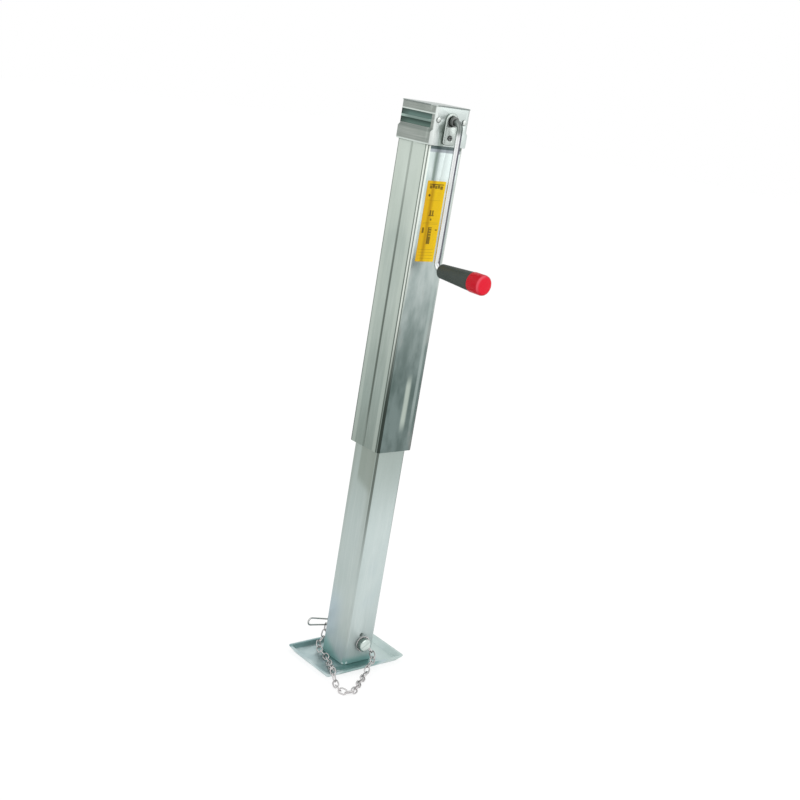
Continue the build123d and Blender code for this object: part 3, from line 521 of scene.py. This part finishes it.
# The bronze nut and the two flanged bushes: turned from bar and left bare, with fine turning marks.
# The front bush, stained by oil, shows as the dark boss round the shaft.
bronze_finish = Finish("turned_bronze")
bronze_marks = bronze_finish.cloud(1500, 2.0)
bronze_cloud = bronze_finish.cloud(90)
bronze_brown = bronze_finish.mixed(bronze_cloud, tint(128, 102, 66), tint(178, 146, 96))
bronze = bronze_finish.surface(bronze_brown, 0.32 + 0.15 * bronze_cloud, 0.9, bronze_marks, relief=0.00003)
for node in ("lead_nut", "rear_shaft_bush"):
    dressed(node, bronze)
stained_finish = Finish("oil_stained_bronze")
stain = stained_finish.cloud(200)
stained_brown = stained_finish.mixed(stain, tint(38, 46, 44), tint(74, 78, 72))
stained_bronze = stained_finish.surface(stained_brown, 0.35 + 0.2 * stain, 0.7, stain, relief=0.00003)
dressed("front_shaft_bush", stained_bronze)


# The drive inside: the lead screw with its bearing, the bevel pair, and the pins and bolts that hold them.
# They are dark steel in a film of oil.
oiled_finish = Finish("oiled_steel")
oiled_cloud = oiled_finish.cloud(70)
oiled_grey = oiled_finish.mixed(oiled_cloud, tint(78, 78, 78), tint(122, 122, 120))
oiled_steel = oiled_finish.surface(oiled_grey, 0.22 + 0.2 * oiled_cloud, 0.95, oiled_cloud, coat=0.3)
for node in (
    "lead_screw", "screw_gear", "gear_pin", "stop_collar", "stop_pin", "drive_pinion", "pinion_pin",
    "upper_thrust_race", "lower_thrust_race", "thrust_rollers", "roller_cage", "nut_bolts",
):
    dressed(node, oiled_steel)


# The gear housing: pressed steel over the tube's head. Both side faces have a plain band at the top, then
# two grooves with a rib between them, and the skirt below bulges out over the tube. Its crank faces are
# painted light, as lit, and the grooves and bends carry painted shade.
housing_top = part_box("gear_housing")[1].z
housing_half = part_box("shaft_bracket")[0].x
band_height = 0.013
groove_height = 0.009
groove_depth = 0.003
rib_height = 0.004
panel_half = 0.038
groove_floor = housing_half - groove_depth
upper_groove_top = housing_top - band_height
rib_top = upper_groove_top - groove_height
lower_groove_top = rib_top - rib_height

housing_finish = Finish("zinc_housing")
housing_x, housing_y, housing_z = housing_finish.place()
out_x, out_y = abs(housing_x), abs(housing_y)
crank_faces = out_x.rising(housing_half - 0.00165, housing_half - 0.00065)
side_faces = 1 - crank_faces
# Painted light on the crank faces: by_corner paints a highlight near the corner and by_bracket a shadow
# beside the bracket.
by_corner = housing_y.falling(-0.034, -0.024)
by_bracket = housing_y.inside(-0.024, -0.010, 0.003) * housing_z.falling(0.978, 0.992)
housing_cloud = housing_finish.cloud(30)
lit_crank_face = housing_finish.layered(
    housing_finish.mixed(housing_cloud, tint(198, 208, 205), tint(216, 225, 222)),
    (by_corner * 0.8, tint(216, 221, 218)),
    (by_bracket * 0.7, tint(134, 150, 140)),
)
# skirt_bend paints shade along the skirt's bend.
skirt_bend = side_faces * (housing_z - skirt_foot).inside(0.0205, 0.0265, 0.0015)
skirt_edge = side_faces * (housing_z - skirt_foot).inside(-0.0005, 0.0025, 0.0006)
band_line = side_faces * housing_z.inside(upper_groove_top, upper_groove_top + 0.0022, 0.0005)
housing_grey, housing_roughness, housing_marks = zinc_tone(
    housing_finish, tint(124, 134, 127), tint(146, 153, 147), tint(122, 138, 133), 14.0, rolled=(14, 14, 900)
)
housing_grey = housing_finish.layered(
    housing_grey,
    (crank_faces, lit_crank_face),
    (skirt_bend * 0.6, tint(104, 114, 109)),
)

from_end = housing_x.rising(-0.036, -0.014)
in_panel = out_x.falling(panel_half - 0.0002, panel_half + 0.0001)
past_floor = out_y.rising(groove_floor - 0.00065, groove_floor - 0.00025)
below_face = out_y.falling(housing_half - 0.00075, housing_half - 0.00015)
sunk = past_floor * below_face * in_panel
# Painted shade darkens the grooves below their upper edge and towards their left end, where the rib has a
# painted highlight.
for groove_top, roof, foot in (
    (upper_groove_top, tint(62, 84, 78), tint(96, 124, 117)),
    (lower_groove_top, tint(34, 60, 52), tint(88, 114, 105)),
):
    shaded = housing_finish.mixed(housing_z.falling(groove_top - groove_height, groove_top), roof, foot)
    shaded = housing_finish.mixed((1 - from_end) * 0.65, shaded, tint(38, 54, 46))
    in_groove = sunk * housing_z.inside(groove_top - groove_height, groove_top, 0.0002)
    housing_grey = housing_finish.mixed(in_groove * 0.95, housing_grey, shaded)
on_rib = side_faces * in_panel * housing_z.inside(rib_top - rib_height, rib_top, 0.0002)
housing_grey = housing_finish.layered(
    housing_grey,
    (on_rib * 0.9, housing_finish.mixed(from_end, tint(158, 182, 172), tint(118, 140, 133))),
    ((band_line + skirt_edge) * 0.75, tint(218, 228, 222)),
)
housing_roughness = housing_roughness + 0.2 * (by_corner * crank_faces)
housing_zinc = housing_finish.surface(housing_grey, housing_roughness, 0.75, housing_marks)
finished("gear_housing", 0.0006, housing_zinc)


# The lid: a flat pressed sheet with a rolled edge, tapped down on the housing.
# Its edge reads as a fine dark line along the top.
lid_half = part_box("housing_lid")[1].x
lid_finish = Finish("zinc_lid")
lid_x, lid_y, _ = lid_finish.place()
lid_rim = abs(lid_x).either(abs(lid_y)).rising(lid_half - 0.00085, lid_half - 0.00015)
lid_grey, lid_roughness, lid_marks = zinc_tone(
    lid_finish, tint(150, 160, 156), tint(184, 192, 188), tint(140, 158, 156), patches=14.0
)
lid_grey = lid_finish.mixed(lid_rim * 0.7, lid_grey, tint(98, 108, 106))
lid_zinc = lid_finish.surface(lid_grey, lid_roughness, zinc_metallic, lid_marks)
finished("housing_lid", 0.0005, lid_zinc)


# The small steel parts of the head: the rivets, the bracket and its screw, the cross shaft with its ring and
# pin, and the crank rod with its washer. They are turned, drawn or pressed, and smoother than the sheet.
def bright_steel(name, light, dark, metallic=0.9, left=(0.62, 0.98), right=(0.62, 0.98), darker_from=None):
    """Steel with painted shade below and down its flanks, to the camera's left and right, light between, and
    darker above darker_from.
    """
    finish = Finish(name)
    facing_x, facing_y, facing_z = finish.facing()
    to_right = 0.67 * facing_x + 0.74 * facing_y
    flanks = to_right.rising(*right).either((-to_right).rising(*left))
    below = (-facing_z).rising(0.1, 0.95)
    cloud = finish.cloud(40)
    marks = finish.cloud((1200, 1200, 200), 2.0)
    colour = finish.layered(
        light,
        (flanks.either(below), dark),
        (cloud.rising(0.35, 0.75) * 0.25, tint(176, 182, 178)),
    )
    if darker_from is not None:
        darker_top = finish.place()[2].rising(darker_from - 0.010, darker_from + 0.003)
        colour = finish.mixed(darker_top * 0.8, colour, tint(88, 100, 94))
    return finish.surface(colour, 0.16 + 0.12 * cloud + 0.06 * marks, metallic, marks)


rivet_steel = bright_steel("rivet_steel", tint(222, 228, 224), tint(84, 92, 88), left=(-0.20, 0.30))
finished("housing_rivets", 0.0002, rivet_steel)

bracket_steel = bright_steel(
    "bracket_steel", tint(200, 209, 204), tint(96, 108, 100), metallic=0.75, left=(0.30, 0.70)
)
finished("shaft_bracket", 0.0004, bracket_steel)

screw_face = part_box("bracket_screw")[1].x
screw_finish = Finish("dark_recess_screw")
# in_recess paints the head's recess near black, as shade.
in_recess = screw_finish.place()[0].falling(screw_face - 0.00115, screw_face - 0.00035)
screw_cloud = screw_finish.cloud(300)
screw_grey = screw_finish.layered(
    screw_finish.mixed(screw_cloud, tint(96, 100, 98), tint(132, 136, 134)),
    (in_recess, tint(30, 32, 32)),
)
screw_steel = screw_finish.surface(screw_grey, 0.3 + 0.2 * screw_cloud, 0.8)
finished("bracket_screw", 0.00015, screw_steel)

shaft_steel = bright_steel("shaft_steel", tint(120, 122, 120), tint(52, 54, 54))
finished("crank_shaft", 0.0003, shaft_steel)
for node in ("retaining_ring", "arm_pin"):
    dressed(node, shaft_steel)

rod_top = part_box("crank_arm")[1].z
rod_steel = bright_steel(
    "crank_rod_steel", tint(228, 230, 230), tint(92, 92, 102),
    left=(0.80, 1.10), right=(0.25, 0.55), darker_from=rod_top - 0.020,
)
finished("crank_arm", 0.0003, rod_steel)
dressed("grip_washer", rod_steel)


# The grip: moulded in dark grey plastic, tapered, with a chamfered small end. It turns on the rod.
# Its skin is finely grained, and the red cap is pushed on its end.
grip_finish = Finish("grained_grip")
grain = grip_finish.cloud(1800, 2.0)
grip_grey = grip_finish.mixed(grip_finish.cloud(50), tint(44, 53, 48), tint(60, 69, 63))
grip_plastic = grip_finish.surface(grip_grey, 0.46 + 0.12 * grain, 0.0, grain, relief=0.00006, specular=0.35)
finished("crank_grip", 0.0003, grip_plastic)

cap_finish = Finish("red_cap")
facing_out, facing_along, facing_up = cap_finish.facing()
cap_cloud = cap_finish.cloud(120)
# The end face is painted lighter, as lit; rim_highlight paints a highlight on the rim and rim_shade paints
# shade on its other side.
cap_rim = facing_out.inside(0.30, 0.93, 0.12)
rim_highlight = cap_rim * (0.5 * facing_up - 0.8 * facing_along).rising(-0.1, 0.6)
rim_shade = cap_rim * (0.8 * facing_along - 0.2 * facing_up).rising(0.1, 0.6)
cap_red = cap_finish.layered(
    cap_finish.mixed(cap_cloud, tint(186, 4, 26), tint(206, 14, 40)),
    (facing_out.rising(0.80, 0.98), tint(230, 24, 50)),
    (rim_highlight * 0.8, tint(240, 92, 108)),
    (rim_shade * 0.6, tint(156, 20, 52)),
)
cap_plastic = cap_finish.surface(cap_red, 0.30 + 0.08 * cap_cloud, 0.0, specular=0.15)
finished("grip_cap", 0.0015, cap_plastic)


# The foot pin, its spring clip and the ring on its neck, all zinc-plated. The pin is turned from bar, and
# a faint dark line of painted reflection crosses its head. The clip and the ring are bent from drawn wire.
pin_low, pin_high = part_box("foot_pin")
pin_height = (pin_low.z + pin_high.z) / 2
pin_finish = Finish("foot_pin_steel")
_, pin_y, pin_z = pin_finish.place()
# pin_side paints the head's sides dark, as shade, and dark_line paints a reflection across its face.
pin_side = pin_finish.facing()[0].falling(0.35, 0.80)
pin_cloud = pin_finish.cloud(150)
dark_line = (pin_z - pin_height - 0.6 * pin_y).inside(0.0, 0.0024, 0.0016)
pin_grey = pin_finish.layered(
    pin_finish.mixed(pin_cloud, tint(192, 206, 200), tint(220, 230, 225)),
    (dark_line * 0.4, tint(124, 144, 138)),
    (pin_side, tint(122, 136, 131)),
)
pin_steel = pin_finish.surface(pin_grey, 0.22 + 0.12 * pin_cloud, 0.85, pin_cloud)
finished("foot_pin", 0.0003, pin_steel)
clip_steel = bright_steel("clip_wire_steel", tint(188, 190, 188), tint(126, 128, 128))
finished("spring_clip", 0.0002, clip_steel)
chain_steel = bright_steel("chain_steel", tint(200, 197, 197), tint(126, 122, 122), metallic=0.75)
finished("chain_end_ring", 0.0002, chain_steel)


# The chain: links of round 2.6 mm wire, bent to an oval and welded shut.
# Each link lies in the next one, in the place of its plain solid.
wire_radius = 0.0013
link_length = 0.018
link_width = 0.0124
link_sides = 10
bend_steps = 10
merge_distance = 1e-5
half_across = link_width / 2 - wire_radius
half_straight = (link_length - link_width) / 2


def round_link():
    """The mesh of one link about the origin, long in X and flat in Z: two straight runs and two bends."""
    bm = bmesh.new()
    start = Matrix.Translation((-half_straight, -half_across, 0)) @ Matrix.Rotation(math.radians(90), 4, "Y")
    bmesh.ops.create_circle(bm, segments=link_sides, radius=wire_radius, matrix=start)
    edges = bm.edges[:]
    for side in (1, -1):
        run = bmesh.ops.extrude_edge_only(bm, edges=edges)["geom"]
        verts = [part for part in run if isinstance(part, bmesh.types.BMVert)]
        edges = [part for part in run if isinstance(part, bmesh.types.BMEdge)]
        bmesh.ops.translate(bm, verts=verts, vec=(side * 2 * half_straight, 0, 0))
        bend = bmesh.ops.spin(
            bm, geom=verts + edges, cent=(side * half_straight, 0, 0), axis=(0, 0, 1),
            angle=math.pi, steps=bend_steps, use_merge=False, dvec=(0, 0, 0),
        )["geom_last"]
        edges = [part for part in bend if isinstance(part, bmesh.types.BMEdge)]
    bmesh.ops.remove_doubles(bm, verts=bm.verts, dist=merge_distance)
    bmesh.ops.recalc_face_normals(bm, faces=bm.faces)
    for face in bm.faces:
        face.smooth = True
    mesh = bpy.data.meshes.new("round_link")
    bm.to_mesh(mesh)
    bm.free()
    return mesh


def link_places():
    """The middle of each of the chain's solids, and its long and broad ways."""
    bm = bmesh.new()
    bm.from_mesh(frame["nodes"]["chain"].data)
    bmesh.ops.remove_doubles(bm, verts=bm.verts, dist=same_point)
    waiting = set(bm.verts)
    places = []
    while waiting:
        unread = [min(waiting, key=lambda vert: vert.index)]
        waiting -= set(unread)
        solid = []
        while unread:
            vert = unread.pop()
            solid.append(vert)
            neighbours = [edge.other_vert(vert) for edge in vert.link_edges]
            fresh = [neighbour for neighbour in neighbours if neighbour in waiting]
            waiting -= set(fresh)
            unread += fresh
        points = np.array([vert.co for vert in solid])
        middle = points.mean(0)
        _, broad, long_way = np.linalg.eigh(np.cov((points - middle).T))[1].T
        places.append((Vector(middle), Vector(long_way), Vector(broad)))
    bm.free()
    return places


link_mesh = round_link()
chain_bm = bmesh.new()
for middle, long_way, broad in link_places():
    before = len(chain_bm.verts)
    chain_bm.from_mesh(link_mesh)
    chain_bm.verts.ensure_lookup_table()
    link_place = Matrix.Translation(middle) @ turned_to(long_way, broad, long_way.cross(broad))
    bmesh.ops.transform(chain_bm, verts=chain_bm.verts[before:], matrix=link_place)
bpy.data.meshes.remove(link_mesh)
chain_piece = built("linked_chain", chain_bm, chain_steel)
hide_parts("chain")
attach(chain_piece, "leg")


# The label: a thin yellow film stuck on the crank face below the housing, left of the middle.
# Its print is plain: a header of dark blocks, a few fine rules and small plain marks, with no words.
label_lift = 0.00006
label_thickness = 0.0002
label_corner = 0.0015
label_low = Vector((tube_half + label_lift, -0.0276, 0.756))
label_high = Vector((tube_half + label_lift + label_thickness, 0.013, 0.891))
label_bm = bmesh.new()
bmesh.ops.create_cube(label_bm, size=1.0)
bmesh.ops.scale(label_bm, verts=label_bm.verts, vec=label_high - label_low)
bmesh.ops.translate(label_bm, verts=label_bm.verts, vec=(label_high + label_low) / 2)
through_film = [
    edge for edge in label_bm.edges if abs(edge.verts[0].co.x - edge.verts[1].co.x) > same_point
]
bmesh.ops.bevel(
    label_bm, geom=through_film, offset=label_corner, offset_type="OFFSET", affect="EDGES",
    segments=4, profile=0.5, material=-1,
)

label_finish = Finish("printed_label")
_, label_y, label_z = label_finish.place()
across = label_y - label_low.y
down = label_high.z - label_z


def printed(left, right, top, foot, soft=0.0003):
    """A plain printed block, in metres from the label's left and top edges."""
    return across.inside(left, right, soft) * down.inside(top, foot, soft)


ink = printed(0.0050, 0.0366, 0.0050, 0.0064)
for block in (
    (0.0060, 0.0112, 0.0076, 0.0128),
    (0.0120, 0.0172, 0.0064, 0.0116),
    (0.0180, 0.0226, 0.0076, 0.0128),
    (0.0234, 0.0284, 0.0068, 0.0122),
    (0.0294, 0.0352, 0.0080, 0.0136),
    (0.0150, 0.0184, 0.0485, 0.0580),
    (0.0202, 0.0236, 0.0485, 0.0580),
    (0.0134, 0.0252, 0.0565, 0.0582),
    (0.0180, 0.0212, 0.0622, 0.0655),
    (0.0040, 0.0084, 0.0775, 0.0868),
    (0.0172, 0.0252, 0.0765, 0.1050),
    (0.0330, 0.0378, 0.0800, 0.0820),
):
    ink = ink.either(printed(*block) * 0.8)
rules = printed(0.0040, 0.0366, 0.0318, 0.0322)
for top in (0.0690, 0.0712, 0.1140, 0.1190, 0.1240, 0.1290):
    rules = rules.either(printed(0.0040, 0.0366, top, top + 0.0005))
stripe_pitch = 0.0044
gaps = (down / stripe_pitch).maths("FRACT").rising(0.60, 0.72)
stripes = printed(0.0200, 0.0252, 0.0765, 0.0930) * gaps
ink = ink.either(rules * 0.5) * (1 - stripes * 0.7)
diamond = (abs(across - 0.0082) + abs(down - 0.0240)).falling(0.0024, 0.0030)

label_cloud = label_finish.cloud((60, 60, 20))
# The darker band across the label is the crank rod's painted shadow.
label_print = label_finish.layered(
    label_finish.mixed(label_cloud, tint(242, 197, 2), tint(255, 214, 8)),
    (across.falling(0.004, 0.010) * 0.7, tint(222, 170, 28)),
    (across.inside(0.0095, 0.0175, 0.0045) * 0.8, tint(186, 138, 2)),
    (ink * 0.95, tint(66, 48, 6)),
    (diamond * 0.9, tint(38, 26, 6)),
)
label_film = label_finish.surface(label_print, 0.36 + 0.1 * label_cloud, 0.0, specular=0.2)
label = built("tube_label", label_bm, label_film)
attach(label, "casing")
